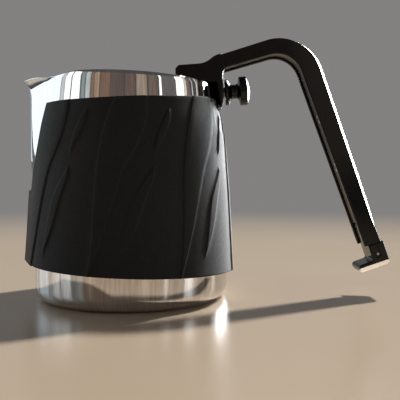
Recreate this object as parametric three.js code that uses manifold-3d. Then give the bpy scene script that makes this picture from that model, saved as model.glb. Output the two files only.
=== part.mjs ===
// Milk frothing pitcher: a steel jug with a silicone grip sleeve and a clamp-on handle.
// Millimetres. +Z is up, the spout points to -X, the handle to +X, and the origin is the
// centre of the flat base on the table.
import * as THREE from 'three';
import { mergeVertices } from 'three/addons/utils/BufferGeometryUtils.js';
import Module from 'manifold-3d';

const wasm = await Module();
wasm.setup();

// ---------------------------------------------------------------- driving dimensions
const GAP = 0.1; // running gap between fitted pieces

// jug
const WALL = 0.8;
const BASE_R = 38; // edge of the flat the jug stands on
const BELLY_R = 44.3;
const BELLY_Z = 12;
const BASE_FILLET = 6.2;
const RIM_R = 38;
const RIM_Z = 99.5; // rim height over the jug's axis
const RIM_SLOPE = -0.0425; // the rim climbs towards the spout
const TAPER_POWER = 1.7;
const SPOUT_CREST_R = 47.8;
const SPOUT_TIP_R = 51;
const SPOUT_FOOT_Z = 22;
const SPOUT_FULL_Z = 66;
const LIP_Z = 90; // the lip flares from here up
const SPOUT_NOSE_DEG = 2.2;
const SPOUT_MIN_DEG = 20;
const RIM_DIP = 1.1;

// sleeve
const SLEEVE_T = 2.2;
const SLEEVE_STANDOFF = 2.75; // outer face to steel
const SLEEVE_FLARE = 0.7;
const SLEEVE_BULGE = 3;
const SLEEVE_BOTTOM_Z = 15;
const SLEEVE_TOP_Z = 88.3;
const NOTCH_Z = 49.5;
const NOTCH_FLAT_DEG = 12;
const NOTCH_TOP_DEG = 32.5;
const SCOOP_HALF_WIDTH = 13; // hollow behind the thumbscrew

// clamp, set square to the wall by the rim
const CLAMP_LEAN = THREE.MathUtils.degToRad(5);
const SCREW_X = 38.5;
const SCREW_Z = 95;
const CLAMP_HALF_WIDTH = 7.3;
const CLAMP_BEVEL = 0.5;
const EDGE_BEVEL = 1.2;
const PAD_R = 3;
const POCKET_FLOOR = 2.55; // from the wall, along the screw
const STUD_R = 2.5; // M5
const BUSH_R = 3.35;
const LEG_OUTER = 4.1;
const PAD_FRONT = 0.85;
const PAD_BACK = 1.55;
const TIP_R = 1.2;
const KNOB_START = 5;
const KNOB_FLANGE_R = 6.15;
const KNOB_HEAD_R = 6.75;
const KNOB_WAIST_R = 3.3;
const CAP_R = 6.1;
const JAW_FACE = -1.45; // jaw pad face, from the wall's outside
const JAW_HALF_WIDTH = 5;
const JAW_PLATE_Z = 101.4;
const JAW_PLATE_T = 1.5;
const JAW_SCREW_X = 29.5;
const JAW_SCREW_SIDES = [-2.9, 2.9];

// arm: a straight top, one bend, a straight leg; depths run inwards from the outer edge
const ARM_SEAM = new THREE.Vector2(41.4, 112.5);
const ARM_RISE = THREE.MathUtils.degToRad(17.6);
const LEG_FALL = THREE.MathUtils.degToRad(-71.1);
const ARM_CORNER = new THREE.Vector2(82, 125.4);
const BEND_R = 21;
const LEG_END = 104.6; // from the corner to the end of the shell
const SEAM_DEPTH = 7; // depth of the flange tips at the seam, at both ends of the bend and at the end
const BEND_START_DEPTH = 7.6;
const BEND_END_DEPTH = 10.1;
const LEG_END_DEPTH = 8.8;
const END_EASE = 13; // the outer face eases inwards over this length at the end of the shell
const END_DIP = 0.6;
const SHELL_T = 2;
const SHELL_SIDE_T = 1.8;
const CORE_DEPTH = 2.2;
const CORE_T = 3.2;
const CORE_RECESS = 1; // from the flange tips to the filled-out core
const CORE_HALF_WIDTH = 5.2;
const CORE_ROOT = 3.6; // length of the bar inside the clamp body
const CORE_SCREW_SIDES = [-2.3, 2.3];
const TOP_SCREW = 17; // shell screws, from the bend along the top and from the corner down the leg
const LEG_SCREWS = [42, 66];
const SCREW_HEAD_R = 2.4;
const SCREW_HEAD_T = 1.1;
const REST_LENGTH = 11.3;
const REST_DEPTH = 7.2;
const FOOT_T = 3.9;
const FOOT_REACH = 14.4;
const REST_BEVEL = 0.6;
const SOLE_BEVEL = 2.4;
const REST_SOCKET = 7;
const TONGUE_LENGTH = 10;
const PIN_R = 0.9;
const PIN_ALONG = 5.2;

const AROUND = 52; // points round the jug
const BEND_STEPS = 12;

// ---------------------------------------------------------------- materials
const finish = (color, metalness, roughness) => () =>
  new THREE.MeshStandardMaterial({ color, metalness, roughness });
const polishedSteel = finish(0xd4d2ce, 1, 0.16);
const screwSteel = finish(0xa9aaac, 1, 0.32);
const blackSilicone = finish(0x17181b, 0, 0.72);
const blackCast = finish(0x0d0d0f, 0.2, 0.25);
const blackPlastic = finish(0x0b0b0d, 0, 0.18);
const brass = finish(0xb08d4a, 1, 0.35);

// ---------------------------------------------------------------- solids
function solid(geometry) {
  const bare = geometry.clone();
  bare.deleteAttribute('normal');
  bare.deleteAttribute('uv');
  const merged = mergeVertices(bare, 1e-4);
  const triangles = [];
  for (let i = 0; i < merged.index.count; i += 3) {
    const [a, b, c] = [0, 1, 2].map((k) => merged.index.getX(i + k));
    if (a !== b && b !== c && c !== a) triangles.push(a, b, c);
  }
  return new wasm.Manifold(new wasm.Mesh({
    numProp: 3,
    vertProperties: new Float32Array(merged.attributes.position.array),
    triVerts: new Uint32Array(triangles),
  }));
}

function geometryOf(manifold) {
  const { vertProperties, triVerts } = manifold.getMesh();
  const geometry = new THREE.BufferGeometry();
  geometry.setAttribute('position', new THREE.BufferAttribute(vertProperties, 3));
  geometry.setIndex(new THREE.BufferAttribute(triVerts, 1));
  return geometry;
}

function cut(geometry, ...tools) {
  return geometryOf(tools.reduce((body, tool) => body.subtract(solid(tool)), solid(geometry)));
}

function join(geometry, ...others) {
  return geometryOf(others.reduce((body, other) => body.add(solid(other)), solid(geometry)));
}

function box(low, high) {
  const size = high.map((value, i) => value - low[i]);
  const middle = high.map((value, i) => (value + low[i]) / 2);
  return new THREE.BoxGeometry(...size).translate(...middle);
}

// A side outline in X and Z, made solid across Y.
function slab(outline, halfWidth, bevel = 0) {
  const shape = outline instanceof THREE.Shape ? outline : new THREE.Shape(outline);
  const depth = 2 * (halfWidth - bevel);
  return new THREE.ExtrudeGeometry(shape, {
    depth,
    bevelEnabled: bevel > 0,
    bevelThickness: bevel,
    bevelSize: bevel,
    bevelOffset: -bevel,
    bevelSegments: 2,
    curveSegments: 6,
  }).translate(0, 0, -depth / 2).rotateX(Math.PI / 2);
}

// A turned piece about the local X axis; profile points are [along, radius].
function turned(profile, segments = 24) {
  const points = profile.map(([along, radius]) => new THREE.Vector2(radius, along));
  return new THREE.LatheGeometry(points, segments).rotateZ(-Math.PI / 2);
}

function rod(radius, from, to, segments = 20) {
  return turned([[from, 0], [from, radius], [to, radius], [to, 0]], segments);
}

function arc(centre, radius, fromDeg, toDeg, steps) {
  return Array.from({ length: steps + 1 }, (_, i) => {
    const angle = THREE.MathUtils.degToRad(fromDeg + (toDeg - fromDeg) * i / steps);
    return [centre[0] + radius * Math.cos(angle), centre[1] + radius * Math.sin(angle)];
  });
}

// Joins rings of equal length into one closed skin, with a point at each end or, with no
// end points, closing on itself.
function skin(rings, firstPoint, lastPoint) {
  const count = rings[0].length;
  const positions = rings.flat().flatMap((p) => [p.x, p.y, p.z]);
  const index = [];
  const bands = firstPoint ? rings.length - 1 : rings.length;
  for (let r = 0; r < bands; r++) {
    const next = (r + 1) % rings.length;
    for (let i = 0; i < count; i++) {
      const j = (i + 1) % count;
      const [a, b, c, d] = [r * count + i, r * count + j, next * count + j, next * count + i];
      index.push(a, b, c, a, c, d);
    }
  }
  if (firstPoint) {
    const first = positions.length / 3;
    positions.push(...firstPoint, ...lastPoint);
    const top = (rings.length - 1) * count;
    for (let i = 0; i < count; i++) {
      const j = (i + 1) % count;
      index.push(first, j, i);
      index.push(first + 1, top + i, top + j);
    }
  }
  const geometry = new THREE.BufferGeometry();
  geometry.setAttribute('position', new THREE.Float32BufferAttribute(positions, 3));
  geometry.setIndex(index);
  return geometry;
}

// ---------------------------------------------------------------- jug and sleeve surfaces
const step = (from, to, value) => THREE.MathUtils.smoothstep(value, from, to);

// Angle from the spout in degrees; the points lie closer together at the spout.
const spoutAngles = Array.from({ length: AROUND }, (_, i) => {
  const turn = i / AROUND;
  return THREE.MathUtils.radToDeg(2 * Math.PI * turn - 0.5 * Math.sin(2 * Math.PI * turn));
});

const fromSpout = (angle) => Math.min(angle, 360 - angle);

function bodyRadius(z) {
  if (z < BELLY_Z) return BELLY_R;
  const climb = (z - BELLY_Z) / (RIM_Z - BELLY_Z);
  return BELLY_R - (BELLY_R - RIM_R) * climb ** TAPER_POWER;
}

function spoutRise(z) {
  const lip = Math.max(0, (z - LIP_Z) / (RIM_Z - LIP_Z));
  const crest = (SPOUT_CREST_R - bodyRadius(z)) * step(SPOUT_FOOT_Z, SPOUT_FULL_Z, z);
  return crest + (SPOUT_TIP_R - SPOUT_CREST_R) * lip ** 3.5;
}

// How far a prow of the given rise stands out of a round wall at an angle from its crest.
function prow(angle, radius, rise) {
  const tangent = THREE.MathUtils.radToDeg(Math.acos(radius / (radius + rise)));
  const halfAngle = Math.max(SPOUT_MIN_DEG, tangent);
  const blunt = Math.hypot(fromSpout(angle), SPOUT_NOSE_DEG) - SPOUT_NOSE_DEG;
  return rise * Math.max(0, 1 - blunt / halfAngle) ** 2.2;
}

function jugRadius(angle, z) {
  return bodyRadius(z) + prow(angle, bodyRadius(z), spoutRise(z));
}

function sleeveRadius(angle, z) {
  const flare = SLEEVE_FLARE * Math.min(1.5, Math.max(0, (35 - z) / 20)) ** 2;
  const slim = 0.55 * step(78, 90, z);
  const wall = bodyRadius(z) + SLEEVE_STANDOFF - slim + flare;
  const blend = step(44, 58, z);
  return wall + prow(angle, wall, SLEEVE_BULGE * (1 - blend) + spoutRise(z) * blend);
}

function around(angle, radius, z) {
  const turn = THREE.MathUtils.degToRad(angle);
  return new THREE.Vector3(-radius * Math.cos(turn), -radius * Math.sin(turn), z);
}

// Height of the rim: a sloping plane that dips a little behind the spout.
function rimHeight(angle, radius) {
  const x = around(angle, radius, 0).x;
  const away = fromSpout(angle);
  const dip = RIM_DIP * (1 - step(35, 62, away)) - 0.6 * Math.exp(-(((away - 13) / 9) ** 2));
  return RIM_Z + RIM_SLOPE * x - dip;
}

function jugRing(z, inset) {
  const lift = step(70, RIM_Z, z);
  return spoutAngles.map((angle) => {
    const radius = jugRadius(angle, z);
    const rise = (rimHeight(angle, radius) - RIM_Z) * lift;
    return around(angle, radius - inset, z + rise);
  });
}

function roundRing(radius, z) {
  return spoutAngles.map((angle) => around(angle, radius, z));
}

function vessel() {
  const heights = [BELLY_Z, 26, 40, 52, 63, 73, 83, 91, 95.5];
  const corner = (radius) => arc([BASE_R, BASE_FILLET], radius, -67, 0, 3);
  const outside = [
    roundRing(BASE_R, 0),
    ...corner(BASE_FILLET).map(([r, z]) => roundRing(r, z)),
    ...heights.map((z) => jugRing(z, 0)),
    jugRing(RIM_Z, 0.15),
  ];
  const inside = [
    jugRing(RIM_Z, WALL - 0.15),
    ...heights.map((z) => jugRing(z, WALL)).reverse(),
    ...corner(BASE_FILLET - WALL).reverse().map(([r, z]) => roundRing(r, z)),
    roundRing(BASE_R, WALL),
  ];
  return skin([...outside, ...inside], [0, 0, 0], [0, 0, WALL]);
}

function sleeveTop(angle) {
  const away = fromSpout(angle);
  const x = around(angle, RIM_R, 0).x;
  const edge = SLEEVE_TOP_Z + 0.04 * x + 0.0009 * x * x;
  const across = Math.max(0, (away - NOTCH_FLAT_DEG) / (NOTCH_TOP_DEG - NOTCH_FLAT_DEG));
  return Math.min(edge, NOTCH_Z + (edge - NOTCH_Z) * across ** 1.5);
}

function gripSleeve() {
  const levels = [0, 0.14, 0.3, 0.46, 0.62, 0.78, 0.9, 1];
  const ring = (level, inner) => spoutAngles.map((angle) => {
    const bottom = SLEEVE_BOTTOM_Z + RIM_SLOPE * around(angle, BELLY_R, 0).x;
    const z = bottom + (sleeveTop(angle) - bottom) * level;
    const outer = sleeveRadius(angle, z);
    const clear = jugRadius(angle, z) + 0.3;
    return around(angle, inner ? Math.max(clear, outer - SLEEVE_T) : outer, z);
  });
  const body = skin([...levels.map((l) => ring(l, false)), ...levels.map((l) => ring(l, true)).reverse()]);
  const scoop = new THREE.LatheGeometry([[39.05, 93.4], [40.7, 87], [42.6, 83.6], [55, 83.6], [55, 99],
    [35, 99], [35, 93.4], [39.05, 93.4]].map(([r, z]) => new THREE.Vector2(r, z)), 96).rotateX(Math.PI / 2);
  const behind = solid(box([20, -SCOOP_HALF_WIDTH, 70], [60, SCOOP_HALF_WIDTH, 100]));
  const recess = solid(scoop).intersect(behind);
  return geometryOf(solid(body).subtract(recess));
}

// ---------------------------------------------------------------- arm outline
const rise = new THREE.Vector2(Math.cos(ARM_RISE), Math.sin(ARM_RISE));
const fall = new THREE.Vector2(Math.cos(LEG_FALL), Math.sin(LEG_FALL));
const inwards = (along) => new THREE.Vector2(along.y, -along.x);
const tangentLength = BEND_R * Math.tan((ARM_RISE - LEG_FALL) / 2);
const topLength = ARM_CORNER.distanceTo(ARM_SEAM);
const shellScrewStations = [-TOP_SCREW - tangentLength, ...LEG_SCREWS];

// A place on the arm: along the top straight (negative, up to the bend) or down the leg
// (positive), measured from the corner where the two outer edges would meet.
function armPoint(station, depth) {
  const along = station < 0 ? rise : fall;
  return ARM_CORNER.clone().addScaledVector(along, station).addScaledVector(inwards(along), depth);
}

function bendPoint(share, depth) {
  const centre = armPoint(-tangentLength, BEND_R);
  const angle = Math.PI / 2 + THREE.MathUtils.lerp(ARM_RISE, LEG_FALL, share);
  const out = new THREE.Vector2(Math.cos(angle), Math.sin(angle));
  return centre.addScaledVector(out, BEND_R - depth);
}

// Depth of the shell's flange tips at a place on one of the straights.
function tipDepth(station) {
  const { mapLinear } = THREE.MathUtils;
  return station < 0
    ? mapLinear(station, -topLength, -tangentLength, SEAM_DEPTH, BEND_START_DEPTH)
    : mapLinear(station, tangentLength, LEG_END, BEND_END_DEPTH, LEG_END_DEPTH);
}

// A band of the arm through the given places, round the bend where it lies between them. The
// outer and the inner depth are made from the place and the flange depth there.
function armBand(stations, outer, inner) {
  const straight = (station) => ({ station, at: (depth) => armPoint(station, depth), tip: tipDepth(station) });
  const bend = Array.from({ length: BEND_STEPS + 1 }, (_, i) => i / BEND_STEPS).map((share) => ({
    station: 0,
    at: (depth) => bendPoint(share, depth),
    tip: THREE.MathUtils.lerp(BEND_START_DEPTH, BEND_END_DEPTH, share),
  }));
  const before = stations.filter((station) => station < 0).map(straight);
  const after = stations.filter((station) => station > 0).map(straight);
  const places = before.length && after.length ? [...before, ...bend, ...after] : [...before, ...after];
  return [
    ...places.map((place) => place.at(outer(place))),
    ...places.map((place) => place.at(inner(place))).reverse(),
  ];
}

const depthOf = (depth) => () => depth;
const belowTips = (recess) => (place) => place.tip - recess;
const easedEnd = ({ station }) => (station > LEG_END - 1 ? END_DIP : 0);

// A frame on the arm whose local X runs inwards from the outer edge.
function onArm(geometry, station, depth = 0) {
  const along = station < 0 ? rise : fall;
  const direction = inwards(along);
  const place = armPoint(station, depth);
  const angle = Math.atan2(direction.y, direction.x);
  return geometry.rotateY(-angle).translate(place.x, 0, place.y);
}

// ---------------------------------------------------------------- clamp
// The frame of the screw: local X runs out of the wall, local Z up along it.
function onWall(geometry) {
  return geometry.rotateY(-CLAMP_LEAN).translate(SCREW_X, 0, SCREW_Z);
}

const seamInner = ARM_SEAM.clone().addScaledVector(inwards(rise), SEAM_DEPTH);
const coreScrewStation = -topLength - 2;

function clampOutline() {
  const shape = new THREE.Shape();
  shape.moveTo(20.4, 102.9);
  shape.lineTo(20.4, 105.6);
  shape.lineTo(21.9, 107.2);
  shape.lineTo(31.4, 107.9);
  shape.quadraticCurveTo(34.6, 108.2, 37, 110.4);
  shape.quadraticCurveTo(38.9, 112, ARM_SEAM.x, ARM_SEAM.y);
  shape.lineTo(seamInner.x, seamInner.y);
  shape.quadraticCurveTo(42.1, 104.6, 42.2, 102);
  shape.lineTo(42.6, 96);
  shape.lineTo(42.4, 89.4);
  shape.lineTo(41.8, 87.8);
  shape.lineTo(41, 87.8);
  shape.lineTo(40.4, 90.6);
  shape.lineTo(39.8, 94);
  shape.lineTo(39.4, 98.9);
  shape.lineTo(31.2, 98.9);
  shape.lineTo(31.2, 100.4);
  return shape;
}

function clampBody() {
  const jawPocket = box([24.8, -5.3, 95], [33.2, 5.3, JAW_PLATE_Z + JAW_PLATE_T + GAP]);
  const jawSlot = onWall(box([-4.4, -5.3, 2], [-1.6, 5.3, 9]));
  const jawRoof = box([33, -5.3, 100], [35.6, 5.3, JAW_PLATE_Z + JAW_PLATE_T + GAP]);
  const seatRecess = box([36.9, -6.9, 98], [38.4, 6.9, 99.2]);
  const padPocket = onWall(rod(PAD_R + 0.35, -1, POCKET_FLOOR, 24));
  const bushBore = onWall(rod(BUSH_R + 0.05, 2, 8, 24));
  const coreSocket = slab(armBand([-topLength - CORE_ROOT - GAP, -tangentLength],
    depthOf(CORE_DEPTH - GAP), depthOf(CORE_DEPTH + CORE_T + GAP)), CORE_HALF_WIDTH + GAP);
  const coreScrewHoles = CORE_SCREW_SIDES.flatMap((y) => [
    onArm(rod(1.35, -4, CORE_DEPTH + CORE_T + 1.9), coreScrewStation).translate(0, y, 0),
    onArm(rod(2.15, -6, 1.2), coreScrewStation).translate(0, y, 0),
  ]);
  const jawScrewHoles = JAW_SCREW_SIDES.map((y) =>
    rod(1.2, 0, 4.2).rotateY(-Math.PI / 2).translate(JAW_SCREW_X, y, JAW_PLATE_Z + JAW_PLATE_T - 0.5));
  return cut(slab(clampOutline(), CLAMP_HALF_WIDTH, CLAMP_BEVEL), jawPocket, jawSlot, jawRoof,
    seatRecess, padPocket, bushBore, coreSocket, ...coreScrewHoles, ...jawScrewHoles);
}

function innerJaw() {
  const plate = box([25, -JAW_HALF_WIDTH, JAW_PLATE_Z], [34.6, JAW_HALF_WIDTH, JAW_PLATE_Z + JAW_PLATE_T]);
  const leg = onWall(box([-4, -JAW_HALF_WIDTH, -7.6], [JAW_FACE - 0.9, JAW_HALF_WIDTH, 7.2]));
  const overhang = box([20, -9, JAW_PLATE_Z + JAW_PLATE_T], [45, 9, 120]);
  const holes = JAW_SCREW_SIDES.map((y) =>
    rod(1.3, -2, 3).rotateY(-Math.PI / 2).translate(JAW_SCREW_X, y, JAW_PLATE_Z));
  return cut(join(plate, leg), overhang, ...holes);
}

function jawPad() {
  const ribs = [-6, -3.5, -1, 1.5].map((w) =>
    onWall(box([JAW_FACE - 0.2, -6, w - 0.3], [JAW_FACE + 0.2, 6, w + 0.3])));
  return cut(onWall(box([JAW_FACE - 0.8, -JAW_HALF_WIDTH, -7.4], [JAW_FACE, JAW_HALF_WIDTH, 2.6])), ...ribs);
}

function rimSeat() {
  return box([37, -6.8, 98.15], [38.3, 6.8, 99.1]);
}

function jawScrew(y) {
  const profile = [[-0.9, 0], [-0.9, 1.6], [-0.6, 2], [-0.1, 2], [-0.1, 1.1], [4.8, 1.1], [5, 0.8], [5, 0]];
  const screw = turned(profile, 16).rotateY(-Math.PI / 2).translate(JAW_SCREW_X, y, JAW_PLATE_Z);
  const drive = box([JAW_SCREW_X - 1.5, y - 0.3, JAW_PLATE_Z - 2], [JAW_SCREW_X + 1.5, y + 0.3, JAW_PLATE_Z - 0.5]);
  return cut(screw, drive);
}

function threadedBush() {
  const start = POCKET_FLOOR + 0.05;
  return onWall(turned([[start, STUD_R + GAP], [start, BUSH_R], [LEG_OUTER - 0.1, BUSH_R],
    [LEG_OUTER, BUSH_R - 0.2], [LEG_OUTER, STUD_R + GAP], [start, STUD_R + GAP]]));
}

// ---------------------------------------------------------------- pressure pad and thumbscrew
function padFace() {
  return onWall(turned([[0.35, 0], [0.35, PAD_R - 0.3], [0.5, PAD_R], [0.75, PAD_R], [0.75, 0]]));
}

function pressurePad() {
  const disc = turned([[PAD_FRONT, 0], [PAD_FRONT, PAD_R], [PAD_BACK - 0.15, PAD_R],
    [PAD_BACK, PAD_R - 0.2], [PAD_BACK, TIP_R + GAP], [PAD_FRONT + 0.2, TIP_R + GAP], [PAD_FRONT + 0.2, 0]]);
  return onWall(disc);
}

function screwStud() {
  return onWall(turned([[PAD_FRONT + 0.3, 0], [PAD_FRONT + 0.3, TIP_R], [PAD_BACK + 0.15, TIP_R],
    [PAD_BACK + 0.15, STUD_R - 0.4], [PAD_BACK + 0.6, STUD_R], [13.3, STUD_R], [13.3, 0]]));
}

function thumbKnob() {
  const k = KNOB_START;
  const end = k + 10.3;
  const blank = turned([
    [k, 0],
    [k, KNOB_FLANGE_R - 0.4],
    [k + 0.4, KNOB_FLANGE_R],
    [k + 1.2, KNOB_FLANGE_R],
    ...arc([k + 4.2, KNOB_WAIST_R + 1.6], 1.6, 205, 270, 3),
    ...arc([k + 5.1, KNOB_WAIST_R + 1.3], 1.3, 270, 350, 4),
    [k + 6.75, KNOB_HEAD_R - 0.5],
    [k + 7.15, KNOB_HEAD_R],
    ...arc([end - 0.4, KNOB_HEAD_R - 0.4], 0.4, 90, 0, 3),
    [end, CAP_R + GAP],
    [end - 0.7, CAP_R + GAP],
    [end - 0.7, 0],
  ]);
  return onWall(cut(blank, rod(STUD_R + GAP, k - 1, k + 8.4, 24)));
}

// A low dome that closes the end of the knob.
function knobCap() {
  const seat = KNOB_START + 9.65;
  const crownR = 13.6;
  const edgeDeg = THREE.MathUtils.radToDeg(Math.asin(CAP_R / crownR));
  const crown = arc([seat + 2 - crownR, 0], crownR, edgeDeg, 0, 5);
  return onWall(turned([[seat, 0], [seat, CAP_R], ...crown]));
}

// ---------------------------------------------------------------- arm pieces
const coreFace = (station) => tipDepth(station) - CORE_RECESS;

function armCore() {
  const bar = slab(armBand([-topLength - CORE_ROOT, LEG_END + REST_SOCKET],
    depthOf(CORE_DEPTH), depthOf(CORE_DEPTH + CORE_T)), CORE_HALF_WIDTH);
  const filling = slab(armBand([-topLength + 0.6, LEG_END - TONGUE_LENGTH - 0.5],
    depthOf(CORE_DEPTH), belowTips(CORE_RECESS)), CORE_HALF_WIDTH);
  const screwHoles = shellScrewStations.flatMap((station) => [
    onArm(rod(1.6, CORE_DEPTH - 1, coreFace(station), 16), station),
    onArm(rod(SCREW_HEAD_R + 0.2, coreFace(station) - SCREW_HEAD_T - GAP, coreFace(station) + 1, 16), station),
  ]);
  const rootHoles = CORE_SCREW_SIDES.map((y) =>
    onArm(rod(1.35, CORE_DEPTH - 1, CORE_DEPTH + CORE_T + 1, 16), coreScrewStation).translate(0, y, 0));
  return cut(join(bar, filling), ...screwHoles, ...rootHoles, pinAlong(PIN_R + 0.05, 10));
}

function gripShell() {
  const outer = slab(armBand([-topLength + GAP, LEG_END - END_EASE, LEG_END], easedEnd, belowTips(0)),
    CLAMP_HALF_WIDTH, EDGE_BEVEL);
  const channel = slab(armBand([-topLength - 5, LEG_END + 5], depthOf(SHELL_T), belowTips(-5)),
    CLAMP_HALF_WIDTH - SHELL_SIDE_T);
  const holes = shellScrewStations.map((station) => onArm(rod(1.45, 0.7, SHELL_T + 1, 16), station));
  return cut(outer, channel, ...holes);
}

function shellScrew(station) {
  const top = coreFace(station);
  const profile = [[0.9, 0], [0.9, 1.1], [1.2, 1.35], [top - SCREW_HEAD_T, 1.35], [top - SCREW_HEAD_T, SCREW_HEAD_R],
    [top - 0.3, SCREW_HEAD_R], [top, SCREW_HEAD_R - 0.3], [top, 0]];
  const drive = rod(0.9, top - 0.7, top + 2, 6);
  return onArm(cut(turned(profile, 16), drive), station);
}

function coreScrew(y) {
  const profile = [[-0.4, 0], [-0.4, 1.7], [0, 2], [1.1, 2], [1.1, 1.25], [CORE_DEPTH + CORE_T + 1.6, 1.25],
    [CORE_DEPTH + CORE_T + 1.6, 0]];
  const drive = rod(0.8, -2, 0.5, 6);
  return onArm(cut(turned(profile, 16), drive), coreScrewStation).translate(0, y, 0);
}

function pinAlong(radius, halfLength) {
  const place = armPoint(LEG_END + PIN_ALONG, CORE_DEPTH + CORE_T / 2);
  return rod(radius, -halfLength, halfLength, 16).rotateZ(Math.PI / 2).translate(place.x, 0, place.y);
}

// Takes the long flat off the lower edge of the foot on one side.
function soleWedge(side) {
  const line = (y, along) => [-2, FOOT_REACH + 2].map((depth) => {
    const place = armPoint(LEG_END + along, depth);
    return [place.x, side * y, place.y];
  });
  return geometryOf(wasm.Manifold.hull([
    ...line(CLAMP_HALF_WIDTH + 1, REST_LENGTH - SOLE_BEVEL - 1),
    ...line(CLAMP_HALF_WIDTH + 1, REST_LENGTH + 1),
    ...line(CLAMP_HALF_WIDTH - SOLE_BEVEL - 1, REST_LENGTH + 1),
  ]));
}

function fingerRest() {
  const at = (along, depth) => armPoint(LEG_END + along, depth);
  const curve = (...args) => arc(...args).map(([along, depth]) => at(along, depth));
  const foot = REST_LENGTH - FOOT_T;
  const tipR = FOOT_T / 2;
  const outline = [
    at(GAP, 0),
    ...curve([REST_LENGTH - 1.2, 1.2], 1.2, -90, 0, 3),
    ...curve([REST_LENGTH - tipR, FOOT_REACH - tipR], tipR, 0, 180, 8),
    ...curve([foot - 1, REST_DEPTH + 1], 1, 0, -90, 3),
    at(GAP, REST_DEPTH),
  ];
  const tongueTop = CORE_DEPTH + CORE_T + GAP;
  const tongueFace = LEG_END_DEPTH - CORE_RECESS;
  const tongue = slab([at(-TONGUE_LENGTH, tongueTop), at(3, tongueTop), at(3, REST_DEPTH - 0.7),
    at(0.6, REST_DEPTH - 0.7), at(-0.4, tongueFace), at(-TONGUE_LENGTH, tongueFace)],
  CLAMP_HALF_WIDTH - SHELL_SIDE_T - GAP);
  const socket = slab([at(-1, CORE_DEPTH - GAP), at(REST_SOCKET + 0.3, CORE_DEPTH - GAP),
    at(REST_SOCKET + 0.3, tongueTop), at(-1, tongueTop)], CORE_HALF_WIDTH + GAP);
  const window = [-1, 1].map((side) => slab([at(1, 2.9), at(6.6, 2.9), at(6.6, 5.9), at(1, 5.9)], 1)
    .translate(0, side * CLAMP_HALF_WIDTH, 0));
  return cut(join(slab(outline, CLAMP_HALF_WIDTH, REST_BEVEL), tongue), socket, ...window,
    soleWedge(-1), soleWedge(1), pinAlong(PIN_R + 0.05, 10));
}

// ---------------------------------------------------------------- assembly
const pitcher = new THREE.Group();

function add(name, geometry, material) {
  const mesh = new THREE.Mesh(geometry, material());
  mesh.name = name;
  pitcher.add(mesh);
}

add('vessel', vessel(), polishedSteel);
add('grip_sleeve', gripSleeve(), blackSilicone);
add('clamp_body', clampBody(), blackCast);
add('inner_jaw', innerJaw(), screwSteel);
JAW_SCREW_SIDES.forEach((y, i) => add(`jaw_screw_${i + 1}`, jawScrew(y), screwSteel));
add('jaw_pad', jawPad(), blackSilicone);
add('rim_seat', rimSeat(), blackSilicone);
add('threaded_bush', threadedBush(), brass);
add('pad_face', padFace(), blackSilicone);
add('pressure_pad', pressurePad(), screwSteel);
add('screw_stud', screwStud(), screwSteel);
add('thumb_knob', thumbKnob(), blackCast);
add('knob_cap', knobCap(), blackCast);
add('arm_core', armCore(), screwSteel);
CORE_SCREW_SIDES.forEach((y, i) => add(`core_screw_${i + 1}`, coreScrew(y), screwSteel));
add('grip_shell', gripShell(), blackPlastic);
shellScrewStations.forEach((station, i) => add(`shell_screw_${i + 1}`, shellScrew(station), screwSteel));
add('finger_rest', fingerRest(), blackCast);
add('rest_pin', pinAlong(PIN_R, CLAMP_HALF_WIDTH - 0.9), screwSteel);

export default pitcher;
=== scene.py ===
"""Looks of the milk frothing pitcher: fine meshes, finishes, light and camera.

Lengths are in millimetres until a mesh is made, and in metres for the floor, the lights and the camera.
Angles round the jug are in degrees from the spout, which points to -X, by way of -Y. The handle is at +X
and the jug stands on Z = 0.
"""

import math

import bmesh
import bpy
import numpy as np
from mathutils import Matrix, Vector


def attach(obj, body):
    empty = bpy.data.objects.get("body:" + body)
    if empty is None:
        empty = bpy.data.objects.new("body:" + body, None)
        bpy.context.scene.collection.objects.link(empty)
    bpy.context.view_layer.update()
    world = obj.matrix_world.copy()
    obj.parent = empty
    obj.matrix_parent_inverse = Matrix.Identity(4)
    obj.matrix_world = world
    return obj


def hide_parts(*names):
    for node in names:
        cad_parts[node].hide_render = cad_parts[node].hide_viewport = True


MM = 0.001

# ---------------------------------------------------------------- dimensions
WALL = 0.8
BASE_R = 38
BELLY_R = 44.3
BELLY_Z = 12
BASE_FILLET = 6.2
RIM_R = 38
RIM_Z = 99.5
RIM_SLOPE = -0.0425
TAPER_POWER = 1.7
SPOUT_CREST_R = 47.8
SPOUT_TIP_R = 51
SPOUT_FOOT_Z = 22
SPOUT_FULL_Z = 66
LIP_Z = 90
SPOUT_NOSE_DEG = 2.2
SPOUT_MIN_DEG = 20
LIP_POWER = 3.5
PROW_POWER = 2.2
RIM_DIP = 1.1
RIM_DIP_DEG = (35, 62)
LIP_RISE = 0.6
LIP_RISE_DEG = 13
LIP_RISE_SPREAD_DEG = 9
RIM_BLEND_Z = 70
RECESS_DEPTH = 0.5
FLOOR_RAISE = 0.52
SLEEVE_T = 2.2
SLEEVE_STANDOFF = 2.75
SLEEVE_GAP = 0.3
SLEEVE_DRAW_IN = 0.55
SLEEVE_DRAW_IN_Z = (78, 90)
SLEEVE_FLARE = 0.7
FLARE_TOP_Z = 35
FLARE_HEIGHT = 20
SLEEVE_BULGE = 3
BULGE_END_Z = (44, 58)
SLEEVE_BOTTOM_Z = 15
SLEEVE_TOP_Z = 88.3
NOTCH_Z = 49.5
NOTCH_FLAT_DEG = 12
NOTCH_TOP_DEG = 32.5
NOTCH_CORNER_DEG = 17
NOTCH_POWER = 1.5
SLEEVE_EDGE = 0.5
HANDLE_SIDE_DEG = 120
SCOOP_HALF_WIDTH = 13
SCOOP_EDGE = 2
SCOOP_BOTTOM_Z = 83.8
SCOOP_HEIGHTS = (SCOOP_BOTTOM_Z, 87, 93.2)
SCOOP_RADII = (42.6, 40.7, 39.1)
SCOOP_MIN_T = 0.35
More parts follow.
